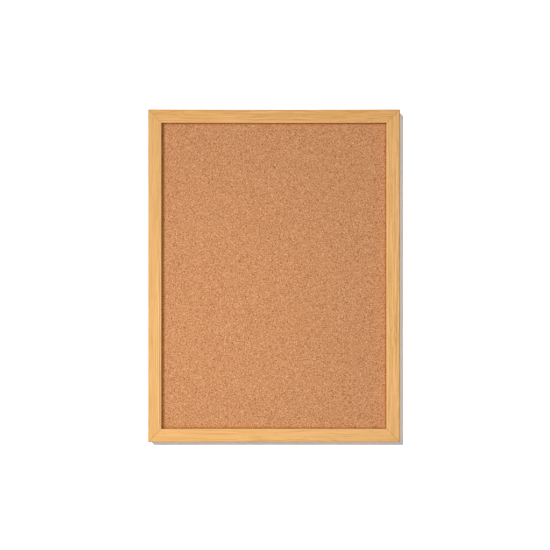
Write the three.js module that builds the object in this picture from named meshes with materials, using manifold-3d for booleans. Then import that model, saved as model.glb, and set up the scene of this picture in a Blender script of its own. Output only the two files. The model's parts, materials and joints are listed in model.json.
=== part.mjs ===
// A framed cork board for a wall: four grooved, mitred rails round a pinning panel,
// and two D-ring hangers on the back.
// Millimetres, +Z up, +X to the right. The front faces -Y, and the back of the wood is
// the plane y = 0. The origin lies midway between the two wall hooks that carry the rings.
import * as THREE from "three";
import { mergeVertices } from "three/addons/utils/BufferGeometryUtils.js";
import Module from "manifold-3d";

const wasm = await Module();
wasm.setup();

// Board, over the wood
const BOARD_WIDTH = 302;
const BOARD_HEIGHT = 399;

// Moulding, from its outer face to the sight edge and from its front to its back
const MOULDING_FACE = 16;
const MOULDING_DEPTH = 15;
const FRONT_LIP = 5;
const GROOVE_DEPTH = 5;
const FRONT_OUTER_ROUND = 1.5;
const FRONT_INNER_ROUND = 0.9;
const BACK_ROUND = 0.7;
const MITRE_GAP = 0.2;

// Panel: cork glued on softboard, with paper on the wall side
const CORK_THICKNESS = 2;
const CORK_CRUSH = 0.15;
const CORK_FIELD_INSET = 0.3;
const CORE_THICKNESS = 4.5;
const PAPER_THICKNESS = 0.3;
const PAPER_MARGIN = 1.5;
const GLUE_LINE = 0.05;
const PANEL_FACE_PLAY = 0.1;
const PANEL_EDGE_PLAY = 0.5;

// V-nails across the mitres, driven from the back
const NAIL_THICKNESS = 0.5;
const NAIL_LEG = 5;
const NAIL_HEIGHT = 10;
const NAIL_LIP = 1.1;
const NAIL_SINK = 0.2;
const NAIL_PLAY = 0.12;
const OUTER_NAIL_INSET = 3;
const INNER_NAIL_INSET = 7;

// Ring: round wire bent to a D, its bar's ends butted inside the strap's fold
const WIRE_DIAMETER = 2;
const RING_SPAN = 12.8;
const RING_CORNER = 1.5;
const RING_LEG = 3;
const RING_BUTT_GAP = 0.3;
const RING_SURFACE_GAP = 0.3;

// Strap: a steel strip folded round the ring's bar and back on itself
const STRIP_THICKNESS = 0.8;
const STRIP_WIDTH = 10;
const FOLD_PLAY = 0.15;
const LAYER_GAP = 0.15;
const NECK_BEND = 0.8;
const STRAP_TAIL = 5;
const UPPER_LAYER_SETBACK = 0.4;
const STRAP_SEAT_GAP = 0.02;

// Screw, pan head, through the strap into the stile
const SCREW_LENGTH = 12;
const SHANK_DIAMETER = 3;
const POINT_LENGTH = 3;
const HEAD_DIAMETER = 5.6;
const HEAD_HEIGHT = 2;
const HEAD_EDGE = 0.7;
const HEAD_TO_RING = 0.8;
const HEAD_SEAT_GAP = 0.05;
const STRAP_HOLE_PLAY = 0.2;
const WOOD_THREAD_PLAY = 0.1;
const PILOT_SPARE = 0.5;

// The rings' hinge lines lie this far under the top of the board
const HANGER_DROP = 60;

// Every cutter stands out of what it cuts by this much
const OVERRUN = 1;

// Counts of facets: an outline draws each arc with twice its half count
const MOULDING_ARC_HALF_COUNT = 3;
const STRAP_ARC_HALF_COUNT = 9;
const TAIL_ARC_HALF_COUNT = 10;
const WIRE_HALF_COUNT = 6;
const WIRE_STEPS = 64;
const SCREW_SIDES = 24;
const HEAD_ARC_STEPS = 5;

// Levels through the thickness of the board, worked out from the front
const GROOVE_FRONT = FRONT_LIP - MOULDING_DEPTH;
const CORK_EDGE_FRONT = GROOVE_FRONT + PANEL_FACE_PLAY;
const CORK_FIELD_FRONT = CORK_EDGE_FRONT - CORK_CRUSH;
const CORK_BACK = CORK_FIELD_FRONT + CORK_THICKNESS;
const CORE_FRONT = CORK_BACK + GLUE_LINE;
const CORE_BACK = CORE_FRONT + CORE_THICKNESS;
const PAPER_FRONT = CORE_BACK + GLUE_LINE;
const PAPER_BACK = PAPER_FRONT + PAPER_THICKNESS;
const GROOVE_BACK = PAPER_BACK + PANEL_FACE_PLAY;

// The panel reaches into the groove on every side
const PANEL_INSET = MOULDING_FACE - GROOVE_DEPTH + PANEL_EDGE_PLAY;
const PANEL_WIDTH = BOARD_WIDTH - 2 * PANEL_INSET;
const PANEL_HEIGHT = BOARD_HEIGHT - 2 * PANEL_INSET;

// The hinge line's height over the wood, and the ring's sizes about it
const WIRE_RADIUS = WIRE_DIAMETER / 2;
const FOLD_RADIUS = WIRE_RADIUS + FOLD_PLAY;
const HINGE_LEVEL = STRAP_SEAT_GAP + STRIP_THICKNESS + FOLD_RADIUS;
const RING_ARC = RING_SPAN / 2;
const RING_ARC_HEIGHT = RING_CORNER + RING_LEG;
const RING_CROWN = RING_ARC_HEIGHT + RING_ARC;
const RING_LEAN = Math.asin((HINGE_LEVEL - WIRE_RADIUS - RING_SURFACE_GAP) / RING_CROWN);

// The strap's screw sits clear of the ring when the ring hangs down over it
const STRAP_FACE = STRAP_SEAT_GAP + 2 * STRIP_THICKNESS + LAYER_GAP;
const SCREW_DROP = RING_CROWN + WIRE_RADIUS + HEAD_TO_RING + HEAD_DIAMETER / 2;
const STRAP_REACH = SCREW_DROP + STRAP_TAIL;

const HANGER_HEIGHT = BOARD_HEIGHT / 2 - HANGER_DROP;
const HANGER_OUT = (BOARD_WIDTH - MOULDING_FACE) / 2;
const HOOK_HEIGHT = HANGER_HEIGHT + RING_CROWN - WIRE_RADIUS;

const QUARTER_TURN = Math.PI / 2;

const wood = new THREE.MeshStandardMaterial({ color: "#e6b272", roughness: 0.55 });
const cork = new THREE.MeshStandardMaterial({ color: "#cc9064", roughness: 0.9 });
const softboard = new THREE.MeshStandardMaterial({ color: "#b89a76", roughness: 0.95 });
const kraftPaper = new THREE.MeshStandardMaterial({ color: "#b78d60", roughness: 0.85 });
const platedSteel = new THREE.MeshStandardMaterial({
  color: "#c8c9c6",
  roughness: 0.28,
  metalness: 1,
});
const bareSteel = new THREE.MeshStandardMaterial({
  color: "#8f9194",
  roughness: 0.45,
  metalness: 1,
});

// A closed geometry as a solid for joining and cutting.
function solidOf(geometry) {
  const bare = geometry.clone();
  for (const name of Object.keys(bare.attributes)) {
    if (name !== "position") bare.deleteAttribute(name);
  }
  const merged = mergeVertices(bare);
  const mesh = new wasm.Mesh({
    numProp: 3,
    vertProperties: merged.getAttribute("position").array,
    triVerts: new Uint32Array(merged.index.array),
  });
  return new wasm.Manifold(mesh);
}

// A solid's surface as a geometry again.
function geometryOf(solid) {
  const { vertProperties, triVerts } = solid.getMesh();
  const geometry = new THREE.BufferGeometry();
  geometry.setAttribute("position", new THREE.BufferAttribute(vertProperties, 3));
  geometry.setIndex(new THREE.BufferAttribute(triVerts, 1));
  geometry.computeVertexNormals();
  return geometry;
}

// Takes the cutters out of a piece, each of them standing where it does on the board.
function carve(piece, cutters) {
  piece.updateWorldMatrix(true, false);
  const toPiece = piece.matrixWorld.clone().invert();
  let solid = solidOf(piece.geometry);
  for (const cutter of cutters) {
    cutter.updateWorldMatrix(true, false);
    const placed = cutter.geometry.clone();
    placed.applyMatrix4(cutter.matrixWorld).applyMatrix4(toPiece);
    solid = solid.subtract(solidOf(placed));
  }
  piece.geometry = geometryOf(solid);
}

function namedMesh(name, geometry, material) {
  const mesh = new THREE.Mesh(geometry, material);
  mesh.name = name;
  return mesh;
}

// The moulding's section: X runs from the outer face to the sight edge, Y from front to back.
function mouldingSection() {
  const groovedAt = MOULDING_FACE - GROOVE_DEPTH;
  const grooveNear = MOULDING_DEPTH + GROOVE_FRONT;
  const grooveFar = MOULDING_DEPTH + GROOVE_BACK;
  const section = new THREE.Shape();
  section.absarc(
    FRONT_OUTER_ROUND, FRONT_OUTER_ROUND, FRONT_OUTER_ROUND, Math.PI, 3 * QUARTER_TURN,
  );
  section.absarc(
    MOULDING_FACE - FRONT_INNER_ROUND, FRONT_INNER_ROUND, FRONT_INNER_ROUND, -QUARTER_TURN, 0,
  );
  section.lineTo(MOULDING_FACE, grooveNear);
  section.lineTo(groovedAt, grooveNear);
  section.lineTo(groovedAt, grooveFar);
  section.lineTo(MOULDING_FACE, grooveFar);
  section.absarc(
    MOULDING_FACE - BACK_ROUND, MOULDING_DEPTH - BACK_ROUND, BACK_ROUND, 0, QUARTER_TURN,
  );
  section.absarc(
    BACK_ROUND, MOULDING_DEPTH - BACK_ROUND, BACK_ROUND, QUARTER_TURN, Math.PI,
  );
  section.closePath();
  return section;
}

// A length of moulding along Z, its ends slid along the grain to 45 degrees.
function railGeometry(length) {
  const rail = new THREE.ExtrudeGeometry(mouldingSection(), {
    depth: length,
    bevelEnabled: false,
    curveSegments: MOULDING_ARC_HALF_COUNT,
  });
  const place = rail.getAttribute("position");
  for (let i = 0; i < place.count; i += 1) {
    const end = Math.sign(place.getZ(i) - length / 2);
    const reach = length / 2 - place.getX(i) - MITRE_GAP / Math.SQRT2;
    place.setZ(i, end * reach);
  }
  return rail;
}

// Each rail runs on from the last by a quarter turn about Y, its outer face on the board's edge.
function makeRails() {
  const side = BOARD_WIDTH / 2;
  const rise = BOARD_HEIGHT / 2;
  const cuts = [
    { name: "left_stile", length: BOARD_HEIGHT, x: -side, z: 0, turns: 0 },
    { name: "top_rail", length: BOARD_WIDTH, x: 0, z: rise, turns: 1 },
    { name: "right_stile", length: BOARD_HEIGHT, x: side, z: 0, turns: 2 },
    { name: "bottom_rail", length: BOARD_WIDTH, x: 0, z: -rise, turns: 3 },
  ];
  return cuts.map(({ name, length, x, z, turns }) => {
    const rail = namedMesh(name, railGeometry(length), wood);
    rail.position.set(x, -MOULDING_DEPTH, z);
    rail.rotation.y = turns * QUARTER_TURN;
    return rail;
  });
}

// A flat sheet across the panel between two levels.
function sheetGeometry(width, height, front, back) {
  const sheet = new THREE.BoxGeometry(width, back - front, height);
  return sheet.translate(0, (front + back) / 2, 0);
}

// The frame's lip has pressed the cork's edge in, so the open field stands a little proud.
function corkGeometry() {
  const fieldInset = MOULDING_FACE + CORK_FIELD_INSET;
  const field = sheetGeometry(
    BOARD_WIDTH - 2 * fieldInset, BOARD_HEIGHT - 2 * fieldInset, CORK_FIELD_FRONT, CORK_BACK,
  );
  const sheet = sheetGeometry(PANEL_WIDTH, PANEL_HEIGHT, CORK_EDGE_FRONT, CORK_BACK);
  return geometryOf(solidOf(sheet).add(solidOf(field)));
}

function makePanel() {
  const core = sheetGeometry(PANEL_WIDTH, PANEL_HEIGHT, CORE_FRONT, CORE_BACK);
  const paper = sheetGeometry(
    PANEL_WIDTH - 2 * PAPER_MARGIN, PANEL_HEIGHT - 2 * PAPER_MARGIN, PAPER_FRONT, PAPER_BACK,
  );
  return [
    namedMesh("cork_sheet", corkGeometry(), cork),
    namedMesh("softboard_core", core, softboard),
    namedMesh("backing_paper", paper, kraftPaper),
  ];
}

// A V-nail in plan, its legs along X and Y from the bend and their tips turned out to
// grip the wood, grown by spare on every side.
function nailPlan(spare) {
  const half = NAIL_THICKNESS / 2 + spare;
  const straight = NAIL_LEG - NAIL_LIP;
  const tip = NAIL_LEG + spare;
  const flare = (tip - straight) / 2;
  return new THREE.Shape([
    new THREE.Vector2(-half, -half),
    new THREE.Vector2(straight, -half),
    new THREE.Vector2(tip, -half - flare),
    new THREE.Vector2(tip, half - flare),
    new THREE.Vector2(straight, half),
    new THREE.Vector2(half, half),
    new THREE.Vector2(half, straight),
    new THREE.Vector2(half - flare, tip),
    new THREE.Vector2(-half - flare, tip),
    new THREE.Vector2(-half, straight),
  ]);
}

function nailGeometry() {
  return new THREE.ExtrudeGeometry(nailPlan(0), {
    depth: NAIL_HEIGHT,
    bevelEnabled: false,
  });
}

// The slot that the nail cuts for itself, open through the back of the wood.
function nailSlotGeometry() {
  const mouth = NAIL_SINK + OVERRUN;
  const slot = new THREE.ExtrudeGeometry(nailPlan(NAIL_PLAY), {
    depth: mouth + NAIL_HEIGHT + NAIL_PLAY,
    bevelEnabled: false,
  });
  return slot.translate(0, 0, -mouth);
}

// The corners in the rails' order, each with X and Z running inwards from its outer corner.
function cornerFrames() {
  const side = BOARD_WIDTH / 2;
  const rise = BOARD_HEIGHT / 2;
  const corners = [
    { name: "bottom_left", x: -side, z: -rise },
    { name: "top_left", x: -side, z: rise },
    { name: "top_right", x: side, z: rise },
    { name: "bottom_right", x: side, z: -rise },
  ];
  return corners.map(({ name, x, z }, turns) => {
    const corner = new THREE.Group();
    corner.name = name;
    corner.position.set(x, 0, z);
    corner.rotation.y = turns * QUARTER_TURN;
    return corner;
  });
}

// Stands a nail, or its slot, on the mitre line of a corner.
function addToMitre(corner, mesh, inset) {
  mesh.position.set(inset, -NAIL_SINK, inset);
  mesh.rotation.x = QUARTER_TURN;
  corner.add(mesh);
}

function makeNails(corners) {
  for (const corner of corners) {
    const outer = namedMesh("v_nail_" + corner.name + "_outer", nailGeometry(), bareSteel);
    const inner = namedMesh("v_nail_" + corner.name + "_inner", nailGeometry(), bareSteel);
    addToMitre(corner, outer, OUTER_NAIL_INSET);
    addToMitre(corner, inner, INNER_NAIL_INSET);
  }
}

function makeNailSlots(corners) {
  const slots = [];
  for (const corner of corners) {
    for (const inset of [OUTER_NAIL_INSET, INNER_NAIL_INSET]) {
      const slot = new THREE.Mesh(nailSlotGeometry());
      addToMitre(corner, slot, inset);
      slots.push(slot);
    }
  }
  return slots;
}

// The ring's wire line in its own plane: from the butt gap along half the bar, round a
// corner, up a leg, over the crown and back down to the other side of the gap.
class RingLine extends THREE.Curve {
  constructor() {
    super();
    const bend = RING_ARC - RING_CORNER;
    this.outline = new THREE.Path();
    this.outline.moveTo(RING_BUTT_GAP / 2, 0);
    this.outline.absarc(bend, RING_CORNER, RING_CORNER, -QUARTER_TURN, 0);
    this.outline.absarc(0, RING_ARC_HEIGHT, RING_ARC, 0, Math.PI);
    this.outline.absarc(-bend, RING_CORNER, RING_CORNER, Math.PI, 3 * QUARTER_TURN);
    this.outline.lineTo(-RING_BUTT_GAP / 2, 0);
  }

  getPoint(t, target = new THREE.Vector3()) {
    const { x, y } = this.outline.getPoint(t);
    return target.set(x, 0, y);
  }
}

function wireSection() {
  const section = new THREE.Shape();
  section.absarc(0, 0, WIRE_RADIUS, 0, 2 * Math.PI);
  return section;
}

// The ring about its hinge line, which runs along X through the origin.
function ringGeometry() {
  return new THREE.ExtrudeGeometry(wireSection(), {
    steps: WIRE_STEPS,
    curveSegments: WIRE_HALF_COUNT,
    extrudePath: new RingLine(),
  });
}

// The strap from the side: X runs up the wood and Y away from it, with the hinge line at
// X = 0. The strip climbs the wood, turns round the bar, necks in and lies back on itself.
function strapSection() {
  const under = STRAP_SEAT_GAP;
  const inside = under + STRIP_THICKNESS;
  const foldOuter = FOLD_RADIUS + STRIP_THICKNESS;
  const upperInside = inside + LAYER_GAP;
  const neckOuter = NECK_BEND + STRIP_THICKNESS;
  const neckHeight = STRAP_FACE + NECK_BEND;
  const rise = neckHeight - HINGE_LEVEL;
  const across = FOLD_RADIUS + neckOuter;
  const back = -Math.sqrt(across * across - rise * rise);
  const meeting = Math.atan2(rise, back);
  const away = meeting - Math.PI;
  const upperEnd = UPPER_LAYER_SETBACK - STRAP_REACH;
  const section = new THREE.Shape();
  section.moveTo(-STRAP_REACH, under);
  section.absarc(0, HINGE_LEVEL, foldOuter, -QUARTER_TURN, meeting);
  section.absarc(back, neckHeight, NECK_BEND, away, -QUARTER_TURN, true);
  section.lineTo(upperEnd, STRAP_FACE);
  section.lineTo(upperEnd, upperInside);
  section.absarc(back, neckHeight, neckOuter, -QUARTER_TURN, away);
  section.absarc(0, HINGE_LEVEL, FOLD_RADIUS, meeting, -QUARTER_TURN, true);
  section.lineTo(-STRAP_REACH, inside);
  section.closePath();
  return section;
}

// The strap from behind, with a round tail below and a square end over the fold.
function strapPlan() {
  const half = STRIP_WIDTH / 2;
  const top = FOLD_RADIUS + STRIP_THICKNESS + OVERRUN;
  const plan = new THREE.Shape();
  plan.moveTo(half, top);
  plan.lineTo(-half, top);
  plan.absarc(0, half - STRAP_REACH, half, Math.PI, 2 * Math.PI);
  plan.closePath();
  return plan;
}

// A cylinder along Y round the screw's line, between two levels.
function screwBore(radius, low, high) {
  const bore = new THREE.CylinderGeometry(radius, radius, high - low, SCREW_SIDES);
  return bore.translate(0, (low + high) / 2, -SCREW_DROP);
}

function strapGeometry() {
  const strip = new THREE.ExtrudeGeometry(strapSection(), {
    depth: STRIP_WIDTH + 2 * OVERRUN,
    bevelEnabled: false,
    curveSegments: STRAP_ARC_HALF_COUNT,
  });
  strip.translate(0, 0, -STRIP_WIDTH / 2 - OVERRUN).rotateY(-QUARTER_TURN);
  const foldTop = HINGE_LEVEL + FOLD_RADIUS + STRIP_THICKNESS;
  const blank = new THREE.ExtrudeGeometry(strapPlan(), {
    depth: foldTop + 2 * OVERRUN,
    bevelEnabled: false,
    curveSegments: TAIL_ARC_HALF_COUNT,
  });
  blank.rotateX(QUARTER_TURN).translate(0, foldTop + OVERRUN, 0);
  const holeRadius = SHANK_DIAMETER / 2 + STRAP_HOLE_PLAY;
  const hole = screwBore(holeRadius, -OVERRUN, STRAP_FACE + OVERRUN);
  return geometryOf(solidOf(strip).intersect(solidOf(blank)).subtract(solidOf(hole)));
}

// The screw stands on its head's seat, which is the strap's outer face.
function screwGeometry() {
  const shank = SHANK_DIAMETER / 2;
  const head = HEAD_DIAMETER / 2;
  const dome = HEAD_HEIGHT - HEAD_EDGE;
  const outline = [
    new THREE.Vector2(0, -SCREW_LENGTH),
    new THREE.Vector2(shank, POINT_LENGTH - SCREW_LENGTH),
    new THREE.Vector2(shank, 0),
    new THREE.Vector2(head, 0),
  ];
  for (let i = 0; i <= HEAD_ARC_STEPS; i += 1) {
    const angle = (i / HEAD_ARC_STEPS) * QUARTER_TURN;
    const out = i < HEAD_ARC_STEPS ? head * Math.cos(angle) : 0;
    outline.push(new THREE.Vector2(out, HEAD_EDGE + dome * Math.sin(angle)));
  }
  const screw = new THREE.LatheGeometry(outline, SCREW_SIDES);
  return screw.translate(0, STRAP_FACE + HEAD_SEAT_GAP, -SCREW_DROP);
}

// The hole that the screw has cut in the stile.
function pilotGeometry() {
  const depth = SCREW_LENGTH - STRAP_FACE - HEAD_SEAT_GAP + PILOT_SPARE;
  return screwBore(SHANK_DIAMETER / 2 + WOOD_THREAD_PLAY, -depth, OVERRUN);
}

// The hinge lines' places on the backs of the two stiles.
function hangerFrames() {
  return ["left", "right"].map((side) => {
    const hanger = new THREE.Group();
    hanger.name = side;
    hanger.position.set(side === "left" ? -HANGER_OUT : HANGER_OUT, 0, HANGER_HEIGHT);
    return hanger;
  });
}

function makeHangers(hangers) {
  for (const hanger of hangers) {
    const ring = namedMesh(hanger.name + "_ring", ringGeometry(), platedSteel);
    ring.position.y = HINGE_LEVEL;
    ring.rotation.x = RING_LEAN;
    hanger.add(
      namedMesh(hanger.name + "_hanger_strap", strapGeometry(), platedSteel),
      namedMesh(hanger.name + "_hanger_screw", screwGeometry(), platedSteel),
      ring,
    );
  }
}

function makePilots(hangers) {
  return hangers.map((hanger) => {
    const pilot = new THREE.Mesh(pilotGeometry());
    hanger.add(pilot);
    return pilot;
  });
}

// The nails' slots and the screws' pilot holes go into the rails before anything is placed.
const rails = makeRails();
const cutters = [...makeNailSlots(cornerFrames()), ...makePilots(hangerFrames())];
for (const rail of rails) {
  carve(rail, cutters);
}

const corners = cornerFrames();
makeNails(corners);
const hangers = hangerFrames();
makeHangers(hangers);

const board = new THREE.Group();
board.add(...rails, ...makePanel(), ...corners, ...hangers);
board.position.z = -HOOK_HEIGHT;

const corkBoard = new THREE.Group();
corkBoard.add(board);

export default corkBoard;
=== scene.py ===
# %% [markdown]
# # A framed cork board
# A small pinboard is a flat stack of a few simple things: four lengths of grooved pine,
# a cork face on softboard, brown paper on the back, and two ring hangers. It looks real
# through its joints, its eased edges, its grain and the crumbs of the cork, so the lesson
# spends its steps there.

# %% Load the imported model
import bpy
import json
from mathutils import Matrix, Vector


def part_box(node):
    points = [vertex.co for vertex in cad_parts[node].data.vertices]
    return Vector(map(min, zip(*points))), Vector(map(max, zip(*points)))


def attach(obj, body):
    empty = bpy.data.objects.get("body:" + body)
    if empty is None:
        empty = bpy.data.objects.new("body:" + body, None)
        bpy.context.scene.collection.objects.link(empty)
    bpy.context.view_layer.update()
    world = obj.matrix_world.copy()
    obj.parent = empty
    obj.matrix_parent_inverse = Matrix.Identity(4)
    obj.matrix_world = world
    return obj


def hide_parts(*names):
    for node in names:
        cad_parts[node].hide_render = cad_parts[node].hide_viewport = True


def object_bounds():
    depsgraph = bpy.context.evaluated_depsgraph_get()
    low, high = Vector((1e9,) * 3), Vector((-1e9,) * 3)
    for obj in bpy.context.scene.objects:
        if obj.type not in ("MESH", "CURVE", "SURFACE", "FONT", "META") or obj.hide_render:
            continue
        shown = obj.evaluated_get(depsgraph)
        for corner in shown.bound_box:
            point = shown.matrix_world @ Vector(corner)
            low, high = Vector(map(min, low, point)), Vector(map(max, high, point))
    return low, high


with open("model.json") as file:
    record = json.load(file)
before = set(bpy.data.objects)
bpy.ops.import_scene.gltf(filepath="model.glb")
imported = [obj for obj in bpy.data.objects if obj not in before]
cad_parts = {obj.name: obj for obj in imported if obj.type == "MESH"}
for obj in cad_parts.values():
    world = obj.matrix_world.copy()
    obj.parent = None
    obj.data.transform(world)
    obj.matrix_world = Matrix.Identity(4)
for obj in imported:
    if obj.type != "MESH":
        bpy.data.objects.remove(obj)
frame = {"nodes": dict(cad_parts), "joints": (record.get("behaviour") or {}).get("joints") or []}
cad_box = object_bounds()
print("CAD box, mm:", [round(1000 * (hi - lo), 2) for lo, hi in zip(*cad_box)])

# %% Tools and units
import json
import math

import bmesh
import bpy
from mathutils import Matrix, Vector, noise

MM = 0.001
QUARTER = math.pi / 2
scene = bpy.context.scene
scene.view_settings.view_transform = "Standard"


def add(name, data):
    """Adds an object to the scene."""
    thing = bpy.data.objects.new(name, data)
    scene.collection.objects.link(thing)
    return thing


def as_mesh(name, bm):
    """Turns a bmesh into a mesh."""
    mesh = bpy.data.meshes.new(name)
    bm.to_mesh(mesh)
    bm.free()
    return mesh


# %% [markdown]
# ## Where things are
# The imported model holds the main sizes, so the lesson measures them there. What it can't
# tell, such as the radius of a bend, is typed once, beside its piece. The board lies in
# X and Z, its front looks along -Y, and the back of the wood is Y = 0.

# %% Measure the frame
left_low, left_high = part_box("left_stile")
top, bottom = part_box("top_rail")[1].z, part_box("bottom_rail")[0].z
WIDTH = 2 * -left_low.x
HEIGHT = top - bottom
MIDDLE = Vector((0, 0, (top + bottom) / 2))
FACE = left_high.x - left_low.x
DEPTH = left_high.y - left_low.y
FRONT = left_low.y
print("board, mm:", round(WIDTH / MM, 2), "by", round(HEIGHT / MM, 2))
print("moulding, mm:", round(FACE / MM, 2), "by", round(DEPTH / MM, 2))

# %% [markdown]
# ## The camera
# In the picture no edge runs together with another, so it was taken square on from well
# back. A lens of 85 mm on a 36 mm sensor stands so far off that the frame takes as many
# pixels as in the picture. The width of the view is measured just behind the frame's
# front, and the board hangs a hair left of and below the centre.

# %% Camera
VIEW_WIDTH = 659.4 * MM
BEHIND_FRONT = 1.5 * MM
AIM_RIGHT, AIM_UP = 1.14 * MM, 0.96 * MM
LENS, SENSOR = 85, 36

camera_data = bpy.data.cameras.new("square_on")
camera_data.lens = LENS
camera_data.sensor_width = SENSOR
camera = add("square_on", camera_data)
camera.rotation_euler = (QUARTER, 0, 0)
stand_off = VIEW_WIDTH * LENS / SENSOR
camera.location = (AIM_RIGHT, FRONT + BEHIND_FRONT - stand_off, MIDDLE.z + AIM_UP)
scene.camera = camera
print("camera stands off, mm:", round(stand_off / MM, 1))

# %% [markdown]
# ## Nodes in few words
# A material is a graph of nodes. Small helpers keep the graphs readable: they put a node
# down and fill its inputs, do a sum, lay one colour over another, or draw noise out along
# the grain. Colours are typed as they look on a screen, from 0 to 255, and turned into
# light.

# %% Node helpers
def paint(red, green, blue):
    """A screen colour as the amounts of light that Blender works with."""
    def light(value):
        value = value / 255
        return value / 12.92 if value <= 0.04045 else ((value + 0.055) / 1.055) ** 2.4
    return (light(red), light(green), light(blue), 1)


def feed(tree, node, inputs):
    """Fills a node's inputs, each with a value or with another node's output."""
    for socket, value in inputs.items():
        if isinstance(value, bpy.types.NodeSocket):
            tree.links.new(value, node.inputs[socket])
        else:
            node.inputs[socket].default_value = value
    return node


def put(tree, kind, inputs=None, **options):
    """Puts a node down, sets its options and fills its inputs."""
    node = tree.nodes.new("ShaderNode" + kind)
    for option, value in options.items():
        setattr(node, option, value)
    return feed(tree, node, inputs or {})


def calc(tree, operation, *terms):
    """One sum, with numbers or with other nodes' outputs."""
    return put(tree, "Math", dict(enumerate(terms)), operation=operation).outputs[0]


def calc_place(tree, operation, *terms):
    """The same for places, on each axis by itself."""
    return put(tree, "VectorMath", dict(enumerate(terms)), operation=operation).outputs[0]


def lay(tree, amount, under, over, how="MIX"):
    """Lays one colour over another."""
    inputs = {0: amount, 6: under, 7: over}
    return put(tree, "Mix", inputs, data_type="RGBA", blend_type=how).outputs[2]


def ramp(tree, value, *stops):
    """Turns a number into a colour that runs through the stops."""
    node = put(tree, "ValToRGB", {0: value})
    points = node.color_ramp.elements
    while len(points) < len(stops):
        points.new(0.5)
    for point, (place, colour) in zip(points, stops):
        point.position = place
        point.color = colour
    return node.outputs[0]


def between(tree, value, low, high, to_low=0.0, to_high=1.0):
    """Eases a number from one range into another."""
    inputs = {0: value, 1: low, 2: high, 3: to_low, 4: to_high}
    return put(tree, "MapRange", inputs, interpolation_type="SMOOTHSTEP").outputs[0]


# %% Noise helpers
def grain(tree, place, stretch, detail=2.0, roughness=0.5, shift=0.0, give=0):
    """Noise that is stretched by dividing the place, in mm, by a length on each axis."""
    scale = [1 / length for length in stretch]
    placed = put(tree, "Mapping", {0: place, 1: (shift,) * 3, 3: scale}).outputs[0]
    inputs = {"Vector": placed, "Scale": 1.0, "Detail": detail, "Roughness": roughness}
    return put(tree, "TexNoise", inputs).outputs[give]


def sway(tree, place, stretch, reach, detail):
    """A place that noise pushes to and fro, by up to half its reach on each axis."""
    push = grain(tree, place, stretch, detail=detail, give=1)
    centred = calc_place(tree, "SUBTRACT", push, (0.5,) * 3)
    return calc_place(tree, "ADD", place, calc_place(tree, "MULTIPLY", centred, reach))


# %% Group and material helpers
def new_group(name, takes, gives):
    """An empty node group with named inputs and outputs."""
    tree = bpy.data.node_groups.new(name, "ShaderNodeTree")
    for side, sockets in (("INPUT", takes), ("OUTPUT", gives)):
        for socket, kind in sockets.items():
            tree.interface.new_socket(socket, in_out=side, socket_type="NodeSocket" + kind)
    return tree, tree.nodes.new("NodeGroupInput").outputs, tree.nodes.new("NodeGroupOutput")


def use_group(tree, group, inputs):
    """Places a group in a material with values of its own."""
    return put(tree, "Group", inputs, node_tree=group).outputs


def new_material(name):
    """A material with only its Principled shader and its output."""
    material = bpy.data.materials.new(name)
    material.use_nodes = True
    tree = material.node_tree
    return material, tree, tree.nodes["Principled BSDF"]


def place_in_mm(tree, start=(0, 0, 0), turn=(0, 0, 0)):
    """The place on the piece in mm, counted from start and along turned axes."""
    from_start = calc_place(tree, "SUBTRACT", put(tree, "TexCoord").outputs["Object"], start)
    return put(tree, "Mapping", {0: from_start, 2: turn, 3: (1 / MM,) * 3}).outputs[0]


def coat(tree, shader, colour, roughness, relief, strength, depth, gloss=0.5, metal=0.0):
    """Fills the shader. A height of one in the relief is so many mm deep."""
    bump = put(tree, "Bump", {"Height": relief, "Strength": strength, "Distance": depth * MM})
    feed(tree, shader, {
        "Base Color": colour, "Roughness": roughness, "Normal": bump.outputs[0],
        "Specular IOR Level": gloss, "Metallic": metal,
    })


# %% [markdown]
# ## Light
# The board hangs in a plain, pale room. A sun from the upper left draws the frame's
# shadow on the cork, a soft lamp low on the left makes that side a little brighter, and
# the room itself fills the shadows. Each is given as its share of the light that shows a
# colour as it is written, and at the middle of the board the shares that arrive add up
# to about one. A second sun lights the back. It makes no highlight, because at a flat
# angle that would bleach the top of the frame.

# %% Room light
ROOM_SHARE = 0.24
WARM_WHITE = (1.0, 0.93, 0.81, 1)


def eye_rays(tree):
    """One for what the eye sees, straight, mirrored or through glass, and else nought."""
    rays = put(tree, "LightPath").outputs
    mirrored = calc(tree, "MAXIMUM", rays["Is Glossy Ray"], rays["Is Transmission Ray"])
    return calc(tree, "MAXIMUM", rays["Is Camera Ray"], mirrored)


world = bpy.data.worlds.new("room")
scene.world = world
world.use_nodes = True
tree = world.node_tree
tree.nodes.clear()
fill = put(tree, "Background", {0: WARM_WHITE, 1: ROOM_SHARE}).outputs[0]
white = put(tree, "Background", {0: (1, 1, 1, 1), 1: 1.0}).outputs[0]
either = put(tree, "MixShader", {0: eye_rays(tree), 1: fill, 2: white})
put(tree, "OutputWorld", {0: either.outputs[0]})

# %% Lamps
def new_lamp(name, kind, colour):
    lamp = bpy.data.lights.new(name, kind)
    lamp.color = colour
    return add(name, lamp)


def new_sun(name, towards, share, spread, facing=(0, -1, 0), colour=(1, 1, 1)):
    """A sun, so many degrees wide, that gives a surface that faces it so its share."""
    sun = new_lamp(name, "SUN", colour)
    towards = Vector(towards).normalized()
    sun.rotation_euler = towards.to_track_quat("-Z", "Y").to_euler()
    sun.data.energy = share * math.pi / -towards.dot(Vector(facing))
    sun.data.angle = math.radians(spread)
    print(name, "strength:", round(sun.data.energy, 2))
    return sun


KEY_SUN = {"towards": (0.76, 1.0, -0.17), "share": 0.50, "spread": 7.0}
BACK_SUN = {"towards": (-0.45, -1.0, -0.55), "share": 0.72, "spread": 8.0, "facing": (0, 1, 0)}

key_sun = new_sun("key_sun", **KEY_SUN, colour=(0.97, 1.01, 1.12))
back_sun = new_sun("back_sun", **BACK_SUN)
back_sun.visible_glossy = False

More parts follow.
